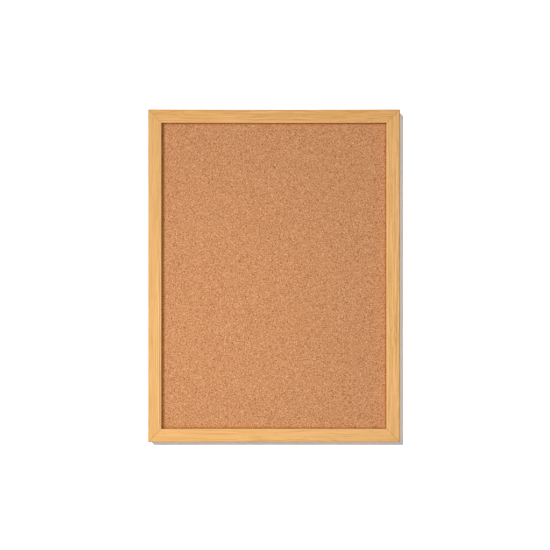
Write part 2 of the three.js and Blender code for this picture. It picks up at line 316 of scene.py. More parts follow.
# %% Low soft lamp
LOW_LAMP_SHARE = 0.36
LOW_LAMP_AIM = MIDDLE + Vector((-160 * MM, 0, -85 * MM))
LOW_LAMP_OFF = 520 * MM
LOW_LAMP_SIZE = 160 * MM

low_lamp = new_lamp("low_lamp", "AREA", (1.0, 0.93, 0.78))
low_lamp.data.shape = "DISK"
low_lamp.data.size = LOW_LAMP_SIZE
low_lamp.location = LOW_LAMP_AIM + Vector((0, -LOW_LAMP_OFF, 0))
low_lamp.rotation_euler = (LOW_LAMP_AIM - low_lamp.location).to_track_quat("-Z", "Y").to_euler()
low_lamp.data.energy = LOW_LAMP_SHARE * math.pi**2 * LOW_LAMP_OFF**2
print("low lamp, W:", round(low_lamp.data.energy, 2))

# %% [markdown]
# ## Wall and floor
# The board hangs on a white wall. On the picture its shadow is a narrow band at the
# right and below, much narrower than the one on the cork, so the wall has a sun of its
# own, which light linking keeps off the board. From behind, the wall lets the eye
# through, and it is left open where the board hides it, so that the board can be looked
# at from the back and from the side.

# %% Stage pieces
def new_sheet(name, columns, rows):
    """An upright sheet that faces -Y. Four columns and rows leave its middle open."""
    across, up = len(columns) - 1, len(rows) - 1
    bm = bmesh.new()
    bmesh.ops.create_grid(bm, x_segments=across, y_segments=up, size=0.5)
    for v in bm.verts:
        v.co = (columns[round((v.co.x + 0.5) * across)], 0, rows[round((v.co.y + 0.5) * up)])
    if across > 1:
        middle = min(bm.faces, key=lambda face: face.calc_center_median().length)
        bmesh.ops.delete(bm, geom=[middle], context="FACES_ONLY")
    sheet = add(name, as_mesh(name, bm))
    return sheet


WALL_REACH, WALL_TOP, FLOOR_DROP, FLOOR_REACH = 3, 3.3, 0.7, 15
OVERLAP = 7 * MM
WALL_GAP = 0.1 * MM

aside, above = WIDTH / 2 - OVERLAP, HEIGHT / 2 - OVERLAP
columns = (-WALL_REACH, -aside, aside, WALL_REACH)
wall = new_sheet("wall", columns, (-FLOOR_DROP, -above, above, WALL_TOP))
wall.location = (0, cad_box[1].y + WALL_GAP, MIDDLE.z)
floor = new_sheet("floor", *[(-FLOOR_REACH, FLOOR_REACH)] * 2)
floor.rotation_euler = (-QUARTER, 0, 0)
floor.location = (0, 0, MIDDLE.z - FLOOR_DROP)
for ray_kind in ("diffuse", "glossy", "transmission", "shadow"):
    setattr(wall, "visible_" + ray_kind, False)

# %% Stage finish
def stage_material(name, glow, glow_colour):
    """White distemper with a little glow for the eye only, so that it stays pale in shadow."""
    material, tree, shader = new_material(name)
    mottle = grain(tree, place_in_mm(tree), (40, 40, 40), detail=3)
    white = ramp(tree, mottle, (0.3, paint(236, 234, 230)), (0.7, paint(240, 239, 236)))
    feed(tree, shader, {"Base Color": white, "Roughness": 1.0, "Specular IOR Level": 0.0})
    strength = calc(tree, "MULTIPLY", eye_rays(tree), glow)
    shine = put(tree, "Emission", {0: glow_colour, 1: strength}).outputs[0]
    both = put(tree, "AddShader", {0: shader.outputs[0], 1: shine}).outputs[0]
    clear = put(tree, "BsdfTransparent").outputs[0]
    behind = put(tree, "NewGeometry").outputs["Backfacing"]
    side = put(tree, "MixShader", {0: behind, 1: both, 2: clear})
    feed(tree, tree.nodes["Material Output"], {0: side.outputs[0]})
    return material


wall.data.materials.append(stage_material("wall_white", 0.26, (0.77, 0.88, 1.0, 1)))
floor.data.materials.append(stage_material("floor_white", 0.80, (1, 1, 1, 1)))

# %% Who lights whom
def link_light(lamp, things, state):
    """Lets a lamp light only these things, or all but them."""
    chosen = bpy.data.collections.new(lamp.name + "_links")
    for thing in things:
        chosen.objects.link(thing)
    for member in chosen.collection_objects:
        member.light_linking.link_state = state
    lamp.light_linking.receiver_collection = chosen


wall_sun = new_sun("wall_sun", (0.318, 1.0, -0.318), 0.95, 2.0)
link_light(wall_sun, [wall], "INCLUDE")
link_light(key_sun, [wall], "EXCLUDE")
link_light(low_lamp, [wall], "EXCLUDE")
link_light(back_sun, [wall, floor], "EXCLUDE")

# %% [markdown]
# ## Helpers for the pieces
# Every piece is a bmesh until it is finished. It then becomes an object at the origin,
# rides on its body and stands for its node of the imported model.

# %% Piece helpers
def finish_piece(name, bm, node, material, slot, body="board", smooth=35):
    """Turns a bmesh into a finished piece that stands for a node."""
    face_out(bm)
    mesh = as_mesh(name, bm)
    mesh.shade_smooth()
    mesh.set_sharp_from_angle(angle=math.radians(smooth))
    mesh.materials.append(material)
    piece = add(name, mesh)
    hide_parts(node)
    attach(piece, body)
    mesh.calc_loop_triangles()
    off = [
        round((pick(v.co[i] for v in mesh.vertices) - corner[i]) / MM, 2)
        for pick, corner in zip((min, max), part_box(node))
        for i in range(3)
    ]
    print(name, len(mesh.loop_triangles), "triangles; off its node's box, mm:", off)
    return piece


def recoat(node, material):
    """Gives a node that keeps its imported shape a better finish."""
    slots = frame["nodes"][node].data.materials
    slots.clear()
    slots.append(material)


# %% Mesh helpers
TOUCHING = 0.001 * MM


def whole(bm):
    return bm.verts[:] + bm.edges[:] + bm.faces[:]


def newest(made, kind):
    """What an operator has made, of one kind."""
    return [thing for thing in made["geom"] if isinstance(thing, kind)]


def move(bm, way, verts=None):
    bmesh.ops.translate(bm, vec=way, verts=bm.verts if verts is None else verts)


def stand_up(bm):
    """Turns what was made flat in X and Y so that it stands in X and Z."""
    bmesh.ops.rotate(bm, matrix=Matrix.Rotation(QUARTER, 3, "X"), verts=bm.verts)


def face_out(bm):
    bmesh.ops.recalc_face_normals(bm, faces=bm.faces)


def weld(bm, gap=TOUCHING):
    bmesh.ops.remove_doubles(bm, verts=bm.verts, dist=gap)


def saw(bm, place, way, clear=False):
    """Divides all that a plane meets, and may clear what lies beyond it."""
    bmesh.ops.bisect_plane(bm, geom=whole(bm), plane_co=place, plane_no=way, clear_outer=clear)


def round_off(bm, edges, radius, segments, clamp=False):
    bmesh.ops.bevel(
        bm, geom=edges, offset=radius, offset_type="OFFSET", segments=segments,
        profile=0.5, affect="EDGES", material=-1, clamp_overlap=clamp,
    )


def travel(bm, line, way):
    """Extrudes a line of edges straight on and gives the line at the new end."""
    made = bmesh.ops.extrude_edge_only(bm, edges=line)
    move(bm, way, newest(made, bmesh.types.BMVert))
    return newest(made, bmesh.types.BMEdge)


def turn(bm, line, centre, axis, angle, steps):
    """Spins a line of edges round a bend and gives the line at its end."""
    ends = list(dict.fromkeys(v for edge in line for v in edge.verts))
    made = bmesh.ops.spin(bm, geom=line + ends, cent=centre, axis=axis, angle=angle, steps=steps)
    return [thing for thing in made["geom_last"] if isinstance(thing, bmesh.types.BMEdge)]


# %% Cutting helpers
def cut(bm, cutters, operation="DIFFERENCE"):
    """Takes the cutters out of a bmesh, or keeps only what lies in them."""
    blocks = []
    for shape in (bm, *cutters):
        face_out(shape)
        blocks.append(add("block", as_mesh("block", shape)))
    for cutter in blocks[1:]:
        boolean = blocks[0].modifiers.new("cut", "BOOLEAN")
        boolean.operation = operation
        boolean.solver = "EXACT"
        boolean.object = cutter
    bpy.context.view_layer.update()
    result = bmesh.new()
    result.from_object(blocks[0], bpy.context.evaluated_depsgraph_get())
    for block in blocks:
        bpy.data.meshes.remove(block.data)
    return result


def drill(radius, length, middle):
    """A round cutter that runs along Y."""
    bm = bmesh.new()
    bmesh.ops.create_cone(
        bm, cap_ends=True, segments=32, radius1=radius, radius2=radius, depth=length,
    )
    stand_up(bm)
    move(bm, middle)
    return bm


# %% [markdown]
# ## Pine
# The moulding is pale pine with a matt seal: streaks a hair wide and a fingertip long,
# broader bands of early and late wood, and short dark pores. Noise that is stretched
# along the stick gives all three. The grain must run along each length, so each member
# has its own mapping into stick coordinates: X from the outer face to the sight edge, Y
# through the depth and Z along the wood.

# %% Pine group
tree, pine_in, pine_out = new_group(
    "pine_figure",
    {"Stick": "Vector", "Tan": "Color", "Honey": "Color", "Peach": "Color"},
    {"Color": "Color", "Height": "Float", "Roughness": "Float"},
)
pine_figure = tree
bent = sway(tree, pine_in["Stick"], (60, 60, 90), (7, 7, 0), 1)
streak = grain(tree, bent, (0.9, 0.9, 60), detail=3, roughness=0.6)
band = grain(tree, bent, (4.2, 4.2, 190), detail=2, shift=7)
pore = grain(tree, bent, (0.7, 0.7, 16), detail=1, shift=13)
late = grain(tree, bent, (1.1, 1.1, 150), detail=1, shift=31)
patch = grain(tree, pine_in["Stick"], (16, 16, 45), detail=1, shift=21)

# %% Pine colour
figure = lay(tree, 0.2, streak, band)
warmth = between(tree, patch, 0.3, 0.7, 0.0, 0.65)
warm = lay(tree, warmth, pine_in["Honey"], pine_in["Peach"])
tone = lay(tree, between(tree, figure, 0.26, 0.70), pine_in["Tan"], warm)
late_mask = between(tree, late, 0.55, 0.66, 0.0, 0.7)
pore_mask = between(tree, pore, 0.60, 0.74, 0.0, 0.5)
lined = lay(tree, late_mask, tone, (0.82, 0.76, 0.68, 1), "MULTIPLY")
pored = lay(tree, pore_mask, lined, (0.72, 0.60, 0.42, 1), "MULTIPLY")
sunk = calc(tree, "SUBTRACT", streak, pore_mask)
sheen = between(tree, band, 0.3, 0.7, 0.56, 0.68)
feed(tree, pine_out, {"Color": pored, "Height": sunk, "Roughness": sheen})

# %% [markdown]
# ## Lines of late wood
# Here and there one line of the dense, dark summer wood stands out for a hand's length,
# with a pale line of spring wood beside it. Noise can't be told where to put such a line,
# so a group draws it from its distance to the outer face and from where it starts and
# ends along the stick, and a table says where each member has its own.

# %% Late wood group
tree, line_in, line_out = new_group(
    "late_wood_line",
    {"Stick": "Vector", "Across": "Float", "From": "Float", "To": "Float"},
    {"Dark": "Float", "Pale": "Float"},
)
late_line = tree
at = put(tree, "SeparateXYZ", {0: line_in["Stick"]}).outputs
wobble = grain(tree, line_in["Stick"], (45, 45, 70), detail=1)
straight = calc(tree, "SUBTRACT", at["X"], line_in["Across"])
beside = calc(tree, "ADD", straight, calc(tree, "MULTIPLY_ADD", wobble, 2.4, -1.2))
beyond = calc(tree, "ADD", beside, 1.3)
begun = between(tree, calc(tree, "SUBTRACT", at["Z"], line_in["From"]), 0, 22)
left_over = between(tree, calc(tree, "SUBTRACT", line_in["To"], at["Z"]), 0, 22)
ends = calc(tree, "MULTIPLY", begun, left_over)
for socket, off, core, edge in (("Dark", beside, 0.2, 0.8), ("Pale", beyond, 0.3, 1.0)):
    mask = between(tree, calc(tree, "ABSOLUTE", off), core, edge, 1.0, 0.0)
    feed(tree, line_out, {socket: calc(tree, "MULTIPLY", mask, ends)})

# %% Where the lines are
LATE_LINES = {
    # mm from the outer face, mm along from the middle to start and end, how strong
    "left_stile": ((13.6, -192, 28, 0.9), (11.2, -136, -40, 0.6), (8.6, -132, -60, 0.45)),
    "top_rail": ((5.7, -46, 80, 0.5), (12.5, -54, 56, 0.5)),
    "right_stile": (
        (3.6, 14, 116, 0.8), (6.0, -147, -42, 0.7), (8.4, -129, -29, 0.5), (7.2, -32, 38, 0.5),
    ),
    "bottom_rail": ((9.6, 18, 84, 0.4),),
}
LATE_WOOD = (0.72, 0.65, 0.54, 1)
SPRING_WOOD = paint(255, 214, 152)

# %% [markdown]
# ## Light and dark along the arrises
# The outer arris is laid darker and greyer, and the sight edge is painted lighter: a
# painted highlight, where the eased edge catches the light. Both are masks from the
# distance to the arris line, broken up with noise so that no edge is even.

# %% Arris mask group
tree, arris_in, arris_out = new_group(
    "arris_band",
    {"Stick": "Vector", "Arris": "Vector", "Reach": "Float"},
    {"Mask": "Float"},
)
arris_band = tree
across = calc_place(tree, "MULTIPLY", arris_in["Stick"], (1, 1, 0))
gap = put(tree, "VectorMath", {0: across, 1: arris_in["Arris"]}, operation="DISTANCE")
blotch = grain(tree, arris_in["Stick"], (3, 3, 14), detail=3)
limit = calc(tree, "MULTIPLY", arris_in["Reach"], calc(tree, "ADD", blotch, 0.5))
near = calc(tree, "SUBTRACT", 1.0, calc(tree, "DIVIDE", gap.outputs["Value"], limit))
feed(tree, arris_out, {"Mask": between(tree, near, 0.0, 0.7)})

# %% Pine for one member
ARRIS_GREY_AND_HIGHLIGHT = (
    # X of the arris and its reach in mm, its colour, and how that is laid on
    # the outer arris, laid darker and greyer
    (0, 2.2, (0.86, 0.84, 0.80, 1), "MULTIPLY"),
    # the sight edge, a painted highlight
    (FACE / MM, 1.7, paint(246, 196, 138), "MIX"),
)


def pine_for(member, corner, turns, along, tan, honey, peach):
    """Pine whose grain runs along a member that is turned by quarter turns from upright."""
    material, tree, shader = new_material("pine_" + member)
    stick = place_in_mm(tree, corner, (0, -turns * QUARTER, 0))
    moved = put(tree, "Mapping", {0: stick, 1: (along,) * 3}).outputs[0]
    tones = {"Tan": tan, "Honey": honey, "Peach": peach}
    wood = use_group(tree, pine_figure, {"Stick": moved, **tones})
    colour = wood["Color"]
    for across, start, end, strength in LATE_LINES[member]:
        place = {"Stick": stick, "Across": across, "From": start, "To": end}
        line = use_group(tree, late_line, place)
        dark = calc(tree, "MULTIPLY", line["Dark"], strength)
        colour = lay(tree, dark, colour, LATE_WOOD, "MULTIPLY")
        pale = calc(tree, "MULTIPLY", line["Pale"], strength * 0.4)
        colour = lay(tree, pale, colour, SPRING_WOOD)
    for x, reach, tint, how in ARRIS_GREY_AND_HIGHLIGHT:
        arris = {"Stick": stick, "Arris": (x, -DEPTH / MM, 0), "Reach": reach}
        mask = calc(tree, "MULTIPLY", use_group(tree, arris_band, arris)["Mask"], 0.5)
        colour = lay(tree, mask, colour, tint, how)
    coat(tree, shader, colour, wood["Roughness"], wood["Height"], 0.35, 0.12, gloss=0.2)
    return material


# %% [markdown]
# ## The four lengths of moulding
# A real moulding is run through shaped cutters as one long stick, then sawn at 45
# degrees. The lesson does the same: a cube is drawn out to a stick, its four arrises are
# rounded, the groove for the panel is pushed into its sight edge, and two slanting
# planes saw its ends. A last, small bevel breaks the sawn edges, and that bevel is what
# makes a mitre show as a fine line.

# %% Sizes of the moulding
GROOVE = left_high.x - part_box("cork_sheet")[0].x + 0.5 * MM
LIP_BACK = FRONT + 5 * MM
GROOVE_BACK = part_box("backing_paper")[1].y + 0.1 * MM
# X, Y and radius in mm of each arris
ARRIS_ROUNDS = ((0, FRONT, 1.5), (FACE, FRONT, 0.9), (0, 0, 0.7), (FACE, 0, 0.7))
MITRE_GAP, MITRE_EDGE, FRONT_BAND = 0.2 * MM, 0.25 * MM, 0.4 * MM
SECTIONS = 46
print("groove, mm:", round(GROOVE / MM, 2), "by", round((GROOVE_BACK - LIP_BACK) / MM, 2))

# %% Moulding
def run_moulding(length):
    """A rounded and grooved stick along Z, its outer face on X = 0 and its back on Y = 0."""
    bm = bmesh.new()
    bmesh.ops.create_cube(bm, size=1)
    bmesh.ops.scale(bm, vec=(FACE, DEPTH, length), verts=bm.verts)
    move(bm, (FACE / 2, -DEPTH / 2, 0))
    for x, y, radius in ARRIS_ROUNDS:
        corner = Vector((x, y))
        arris = [
            e for e in bm.edges if all((v.co.xy - corner).length < TOUCHING for v in e.verts)
        ]
        round_off(bm, arris, radius * MM, 6)
    for level in (LIP_BACK, GROOVE_BACK):
        saw(bm, (0, level, 0), (0, 1, 0))
    strip = [
        f for f in bm.faces
        if f.normal.x > 0.9 and LIP_BACK < f.calc_center_median().y < GROOVE_BACK
    ]
    rim = [e for f in strip for e in f.edges]
    made = bmesh.ops.extrude_face_region(bm, geom=strip + rim)
    move(bm, (-GROOVE, 0, 0), newest(made, bmesh.types.BMVert))
    return bm


def saw_mitres(bm, length):
    """Divides the stick along its length, saws both ends and breaks the sawn edges."""
    along = [e for e in bm.edges if abs(e.verts[0].co.z - e.verts[1].co.z) > length / 2]
    bmesh.ops.subdivide_edges(bm, edges=along, cuts=SECTIONS, use_grid_fill=True)
    for end in (-1, 1):
        start = end * (length / 2 - MITRE_GAP / math.sqrt(2))
        saw(bm, (0, 0, start), (1, 0, end), clear=True)
        open_edges = [e for e in bm.edges if e.is_boundary]
        bmesh.ops.holes_fill(bm, edges=open_edges)
        front = [e for e in open_edges if all(v.co.y < FRONT + FRONT_BAND for v in e.verts)]
        round_off(bm, front, MITRE_EDGE, 2, clamp=True)
    bmesh.ops.dissolve_degenerate(bm, dist=TOUCHING, edges=bm.edges)


# %% [markdown]
# ## Nothing made of wood is quite straight
# Each length bows by a few tenths of a millimetre and its faces wave very slightly,
# which shows in how light runs along it. The middle moves and the mitred ends stay, so
# the joints remain closed.

# %% Natural bow
WAVE_LENGTHS = (0.03, 0.03, 0.045)
SIDE_WAVE, FRONT_WAVE = 0.06, 0.05


def let_it_bow(bm, length, bow, seed):
    """Bows a stick across its width and waves its faces, with its ends held."""
    for v in bm.verts:
        held = max(0.0, 1 - (2 * v.co.z / length) ** 2)
        spot = Vector([c / wave_length for c, wave_length in zip(v.co, WAVE_LENGTHS)])
        wave = noise.noise(spot + Vector((seed,) * 3))
        v.co.x += held * (bow + SIDE_WAVE * wave) * MM
        if v.co.y < FRONT / 2:
            v.co.y += held * FRONT_WAVE * abs(wave) * MM


# %% [markdown]
# ## Slots and screw holes
# V-nails and screws cut their own way into the wood. A slot is the nail itself, grown by
# a tenth of a millimetre and open to the back, so it is made from a copy of the nail. The
# copy loses the normals it was imported with: the cut would carry them into the wood, and
# its flat back would then be shaded as if it were dented round each nail.

# %% Cutters
SLOT_ROOM = 0.12
SLOT_REACH = 1 * MM
PILOT_RADIUS, PILOT_LENGTH, PILOT_MIDDLE = 1.6 * MM, 11.7 * MM, -4.85 * MM


def nail_slot(node):
    """A nail grown on every side and drawn out through the back of the wood."""
    copy = frame["nodes"][node].data.copy()
    if copy.has_custom_normals:
        copy.attributes.remove(copy.attributes["custom_normal"])
    bm = bmesh.new()
    bm.from_mesh(copy)
    bpy.data.meshes.remove(copy)
    weld(bm)
    face_out(bm)
    bm.normal_update()
    grown = [v.co + v.normal * v.calc_shell_factor() * SLOT_ROOM * MM for v in bm.verts]
    for v, place in zip(bm.verts, grown):
        v.co = place
        if v.co.y > -SLOT_REACH:
            v.co.y = SLOT_REACH
    return bm


def screw_hole(node):
    low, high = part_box(node)
    middle = ((low.x + high.x) / 2, PILOT_MIDDLE, (low.z + high.z) / 2)
    return drill(PILOT_RADIUS, PILOT_LENGTH, middle)


# %% The four members
MEMBERS = (
    # name, quarter turns, length, middle of the outer face,
    # bow inwards in mm, seed of its waves, place in the plank in mm,
    # the dark of the grain, then its two light tones, partly each member's own wood and partly
    # painted light, lighter or darker for how brightly that side is lit
    ("left_stile", 0, HEIGHT, Vector((-WIDTH / 2, 0, MIDDLE.z)), 0.10, 0, 6850,
     (220, 167, 101), (232, 184, 113), (243, 190, 131)),
    ("top_rail", 1, WIDTH, Vector((0, 0, MIDDLE.z + HEIGHT / 2)), 0.34, 310, 4420,
     (210, 153, 85), (241, 187, 115), (251, 194, 131)),
    ("right_stile", 2, HEIGHT, Vector((WIDTH / 2, 0, MIDDLE.z)), 0.12, 640, 3380,
     (212, 157, 91), (248, 196, 125), (255, 199, 139)),
    ("bottom_rail", 3, WIDTH, Vector((0, 0, MIDDLE.z - HEIGHT / 2)), 0.05, 930, 6410,
     (228, 173, 108), (238, 188, 117), (248, 194, 132)),
)

# %% Make the four members
for name, turns, length, outer_face, bow, seed, along, *tones in MEMBERS:
    side = name.split("_")[0]
    stick = run_moulding(length)
    saw_mitres(stick, length)
    let_it_bow(stick, length, bow, seed)
    quarter_turns = Matrix.Rotation(turns * QUARTER, 4, "Y")
    stick.transform(Matrix.Translation(outer_face) @ quarter_turns)
    nails = [node for node in frame["nodes"] if "v_nail" in node and side in node.split("_")]
    holes = [nail_slot(nail) for nail in nails]
    if "stile" in name:
        holes.append(screw_hole(side + "_hanger_screw"))
    stick = cut(stick, holes)
    pine = pine_for(name, outer_face, turns, along, *(paint(*tone) for tone in tones))
    member = finish_piece(name + "_pine", stick, name, pine, "pine")
    flats = member.modifiers.new("flats_stay_flat", "WEIGHTED_NORMAL")
    flats.keep_sharp = True
    flats.weight = 100

# %% [markdown]
# ## Cork
# Agglomerated cork is ground bark pressed with glue: crumbs of 1 to 2.5 mm, each with
# its own tone, fine gaps between them, a few dark bits of outer bark, and patches where
# the batch was redder or greener. Voronoi cells are the crumbs. Pure chance would leave
# clumps of like crumbs that look like stains from afar, so a cell's tone comes mostly
# from a short noise read at its centre, which makes neighbours differ, and partly from
# the cell's random colour.

# %% Cork group
tree, cork_in, cork_out = new_group(
    "cork_crumbs",
    {"Place": "Vector", "Crumb": "Float"},
    {"Color": "Color", "Height": "Float"},
)
cork_crumbs = tree
ragged = sway(tree, cork_in["Place"], (0.7, 0.7, 0.7), (0.8, 0.8, 0.8), 2)
per_mm = calc(tree, "DIVIDE", 1.0, cork_in["Crumb"])
finer = calc(tree, "MULTIPLY", per_mm, 2.1)
cells = {"Vector": ragged, "Scale": per_mm}
crumb = put(tree, "TexVoronoi", cells).outputs
seam = put(tree, "TexVoronoi", cells, feature="DISTANCE_TO_EDGE").outputs["Distance"]
fine = put(tree, "TexVoronoi", {"Vector": ragged, "Scale": finer}).outputs
random_tone = put(tree, "SeparateColor", {0: crumb["Color"]}).outputs
fine_tone = put(tree, "SeparateColor", {0: fine["Color"]}).outputs[0]
swing = grain(tree, crumb["Position"], (1.4, 1.4, 1.4), detail=0)
swing_tone = between(tree, swing, 0.3, 0.7, 0.0, 0.69)
crumb_tone = calc(tree, "MULTIPLY_ADD", random_tone[0], 0.31, swing_tone)

# %% Cork colour
crumb_colour = ramp(
    tree, crumb_tone,
    (0.0, paint(94, 42, 17)), (0.08, paint(150, 84, 42)), (0.18, paint(185, 120, 73)),
    (0.4, paint(207, 143, 95)), (0.65, paint(218, 158, 111)), (0.92, paint(234, 182, 136)),
    (1.0, paint(252, 214, 174)),
)
fine_colour = ramp(
    tree, fine_tone,
    (0.0, paint(149, 78, 35)), (0.13, paint(188, 122, 75)), (0.4, paint(207, 142, 94)),
    (0.8, paint(223, 166, 118)), (1.0, paint(246, 199, 155)),
)
mixed = lay(tree, 0.36, crumb_colour, fine_colour)
batch_tint = ramp(
    tree, grain(tree, cork_in["Place"], (13, 13, 13), detail=2, shift=5),
    (0.36, (0.988, 1.0, 0.992, 1)), (0.5, (1, 1, 1, 1)), (0.64, (1.01, 0.995, 1.004, 1)),
)
tinted = lay(tree, 1.0, mixed, batch_tint, "MULTIPLY")
glue = between(tree, seam, 0.0, 0.09, 0.55, 0.0)
glued = lay(tree, glue, tinted, (0.62, 0.54, 0.46, 1), "MULTIPLY")

# %% Cork relief
swell = between(tree, seam, 0.0, 0.3)
relief = calc(tree, "MULTIPLY_ADD", random_tone[1], 0.8, swell)
feed(tree, cork_out, {"Color": glued, "Height": relief})

# %% Cork material
# half the width and height between the sight edges of the frame
SIGHT = (WIDTH / 2 - FACE, HEIGHT / 2 - FACE)

cork, tree, shader = new_material("cork")
place = place_in_mm(tree, (0, 0, MIDDLE.z))
crumbs = use_group(tree, cork_crumbs, {"Place": place, "Crumb": 1.0})
axis = put(tree, "SeparateXYZ", {0: place}).outputs
aside = calc(tree, "SUBTRACT", SIGHT[0] / MM, calc(tree, "ABSOLUTE", axis["X"]))
above = calc(tree, "SUBTRACT", SIGHT[1] / MM, calc(tree, "ABSOLUTE", axis["Z"]))
from_frame = calc(tree, "MINIMUM", aside, above)
# Painted shade, with some dust: the cork is laid darker and browner close to the frame, where the
# lip shades it.
lip_shade_wobble = grain(tree, place, (2.2, 2.2, 2.2), detail=2)
lip_shade_reach = calc(tree, "MULTIPLY_ADD", lip_shade_wobble, 2.6, 1.3)
dust_and_lip_shade = between(tree, calc(tree, "DIVIDE", from_frame, lip_shade_reach), 0.25, 1.3, 0.8, 0.0)
cork_colour = lay(tree, dust_and_lip_shade, crumbs["Color"], (0.71, 0.66, 0.40, 1), "MULTIPLY")
coat(tree, shader, cork_colour, 0.92, crumbs["Height"], 0.45, 0.16, gloss=0.12)

# %% [markdown]
# ## The cork sheet
# The open field is a fine grid whose points rise and fall crumb by crumb, so the relief
# is real where light grazes it. At the frame the cutting and pressing have torn crumbs
# out, which leaves a small ragged trench. It is made by stepping the grid's rim outwards
# and down, then up again under the lip of the frame, and then back to the glue side.

# %% Cork sheet helpers
CRUMB = 1.9 * MM
CRUMB_STEP, CRUMB_SWELL, CRUMB_SUNK = 0.06, 0.04, 0.03
CRUMBS_APART = 9.7


def flat_grid(width, height, across, up):
    """A grid that stands in X and Z about the origin."""
    bm = bmesh.new()
    bmesh.ops.create_grid(bm, x_segments=across, y_segments=up, size=0.5)
    bmesh.ops.scale(bm, vec=(width, height, 1), verts=bm.verts)
    stand_up(bm)
    return bm


def from_lip(place):
    """How far inside the sight edge of the frame a place lies."""
    return min(SIGHT[0] - abs(place.x), SIGHT[1] - abs(place.z))


def crumb_relief(place):
    """How far the cork stands up or down at a place, in mm: each crumb has its own level."""
    gaps, centres = noise.voronoi(place / CRUMB)
    swell = min(1.0, 2 * (gaps[1] - gaps[0]))
    level = CRUMB_STEP * noise.cell(centres[0] * CRUMBS_APART)
    return level + CRUMB_SWELL * swell - CRUMB_SUNK


def sizes_at(inset):
    """Half the width and height of a rectangle so many mm inside the sight edge."""
    return (SIGHT[0] - inset * MM, SIGHT[1] - inset * MM)


def step_rim(bm, rim, inset, new_inset, level):
    """Steps the rim of a rectangle to a new inset and level."""
    made = bmesh.ops.extrude_edge_only(bm, edges=rim)
    for v in newest(made, bmesh.types.BMVert):
        for axis, size, new_size in zip((0, 2), sizes_at(inset), sizes_at(new_inset)):
            if abs(abs(v.co[axis]) - size) < 10 * TOUCHING:
                v.co[axis] = math.copysign(new_size, v.co[axis])
        v.co.y = level
    return newest(made, bmesh.types.BMEdge)


# %% Cork sheet
cork_low, cork_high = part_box("cork_sheet")
PITCH = 1.22 * MM
PRESSED = 0.15
FIELD_DROP = 0.10
# how far inside the sight edge the trench steps, and how deep, in mm
TRENCH_START = 1.5
TRENCH = ((1.0, 0.06), (0.6, 0.42), (0.2, 0.70), (-0.5, PRESSED), (-4.5, PRESSED))
# the crumbs keep clear of the lip and of the glue side
CLEAR, FRONT_SIDE = 0.3 * MM, 0.6 * MM
# how far crumbs beside the frame are torn up or down in mm, how wide, and in what band
TORN, TORN_WIDTH, TORN_BAND = 0.35, 1.3 * MM, 1.2 * MM

half = sizes_at(TRENCH_START)
bm = flat_grid(2 * half[0], 2 * half[1], *(round(2 * size / PITCH) for size in half))
rim = [e for e in bm.edges if e.is_boundary]
inset = TRENCH_START
for new_inset, drop in TRENCH:
    rim = step_rim(bm, rim, inset, new_inset, drop * MM)
    inset = new_inset
rim = travel(bm, rim, (0, cork_high.y - cork_low.y - PRESSED * MM, 0))
bmesh.ops.holes_fill(bm, edges=rim)
for v in bm.verts:
    off = from_lip(v.co)
    if off > CLEAR and v.co.y < FRONT_SIDE:
        torn = TORN * noise.noise(v.co / TORN_WIDTH) if off < TORN_BAND else 0
        v.co.y += (FIELD_DROP - crumb_relief(v.co) + torn) * MM
move(bm, (0, cork_low.y, MIDDLE.z))
finish_piece("cork_face", bm, "cork_sheet", cork, "cork", smooth=80)

# %% [markdown]
# ## Softboard and brown paper
# Behind the cork lie wood-fibre softboard, which holds the pins, and brown paper that
# keeps the fibres in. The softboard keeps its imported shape, since the frame, the cork and
# the paper hide it. The paper has cockled where the glue line dried, so it is a grid with
# a slow swell that dies out where the groove holds it.

# %% Fibre group
tree, fibre_in, fibre_out = new_group(
    "fibres",
    {"Place": "Vector", "Dark": "Color", "Light": "Color", "Length": "Float"},
    {"Color": "Color", "Height": "Float"},
)
fibre_mat = tree
waver = grain(tree, fibre_in["Place"], (5, 5, 5), detail=1, shift=3, give=1)
crook = calc_place(tree, "MULTIPLY", waver, (5, 5, 5))
crooked = calc_place(tree, "ADD", fibre_in["Place"], crook)
slow = calc(tree, "DIVIDE", 1, fibre_in["Length"])
draw = put(tree, "CombineXYZ", {0: 3.4, 1: 3.4, 2: slow}).outputs[0]
top_fibre = 0.0
for shift, angle in ((0, 0.5), (11, 1.7), (23, 2.6)):
    way = {0: crooked, 1: (shift,) * 3, 2: (0, angle, 0)}
    drawn = calc_place(tree, "MULTIPLY", put(tree, "Mapping", way).outputs[0], draw)
    fibre = put(tree, "TexNoise", {"Vector": drawn, "Scale": 1, "Detail": 2}).outputs[0]
    top_fibre = calc(tree, "MAXIMUM", top_fibre, fibre)
cloud = grain(tree, fibre_in["Place"], (28, 28, 28), detail=3)
tone = calc(tree, "MULTIPLY_ADD", cloud, 0.14, top_fibre)
light = between(tree, tone, 0.52, 0.86)
fibre_colour = lay(tree, light, fibre_in["Dark"], fibre_in["Light"])
feed(tree, fibre_out, {"Color": fibre_colour, "Height": top_fibre})

# %% Paper and softboard materials
def fibre_material(name, dark, light, length, roughness, relief):
    """Matted fibres, their length and relief in mm."""
    material, tree, shader = new_material(name)
    place = place_in_mm(tree)
    values = {"Dark": dark, "Light": light, "Length": length}
    fibres = use_group(tree, fibre_mat, {"Place": place, **values})
    fleck = put(tree, "TexVoronoi", {"Vector": place, "Scale": 0.35}).outputs["Distance"]
    flecked = lay(tree, between(tree, fleck, 0.05, 0.16, 0.45, 0.0), fibres["Color"], dark)
    coat(tree, shader, flecked, roughness, fibres["Height"], 0.5, relief, gloss=0.15)
    return material


kraft = fibre_material("kraft_paper", paint(164, 122, 79), paint(190, 148, 102), 3, 0.85, 0.04)
softboard = fibre_material("softboard", paint(150, 120, 86), paint(200, 172, 134), 6, 0.95, 0.2)
recoat("softboard_core", softboard)

# %% Backing paper
COCKLE = 0.75
COCKLE_WIDTH, COCKLE_HEIGHT, COCKLE_SEED = 0.05, 0.07, 3.1
HELD_BAND = 14 * MM
PAPER_GRID = (46, 62)

